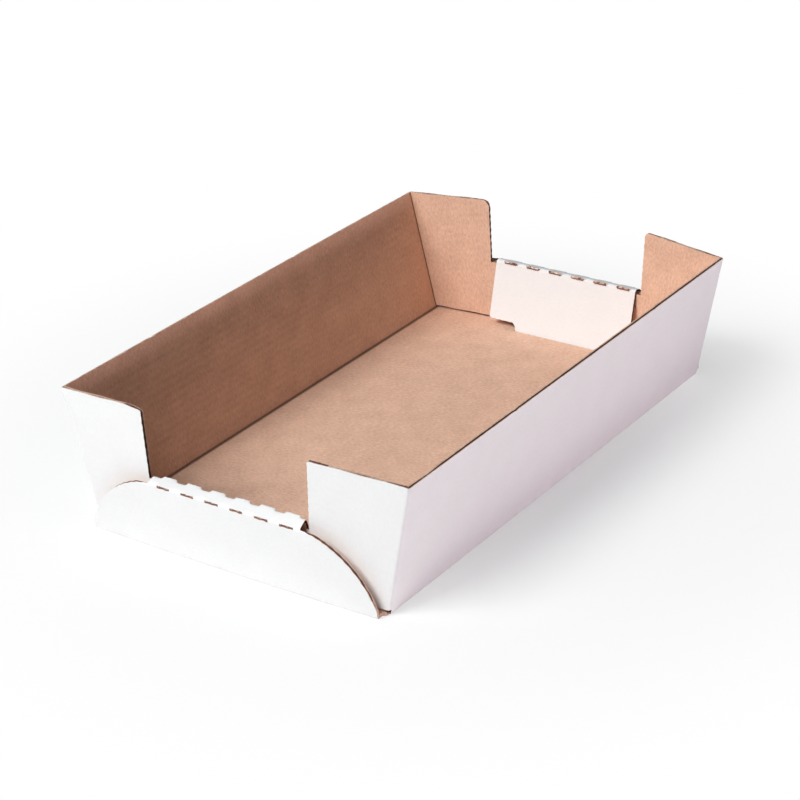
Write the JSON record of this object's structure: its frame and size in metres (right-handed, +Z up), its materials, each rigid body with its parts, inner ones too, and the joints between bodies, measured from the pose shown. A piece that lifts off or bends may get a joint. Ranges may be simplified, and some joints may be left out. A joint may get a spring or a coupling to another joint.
{
  "type": "centerpiece box",
  "caption": "Open corrugated tray with outward-leaning long walls, folded corner flaps and low arched ends, each rolled over a perforated bridge and locked into the floor.",
  "frame": {"origin": "middle of the floor's underside, on the table", "axes": "+Z up, +Y along the tray's length, +X across it"},
  "size_m": [0.3284, 0.5134, 0.1174],
  "materials": {
    "board": "brown kraft inside, matt white outside"
  },
  "bodies": {
    "root": {"tray": "board"}
  },
  "joints": []
}
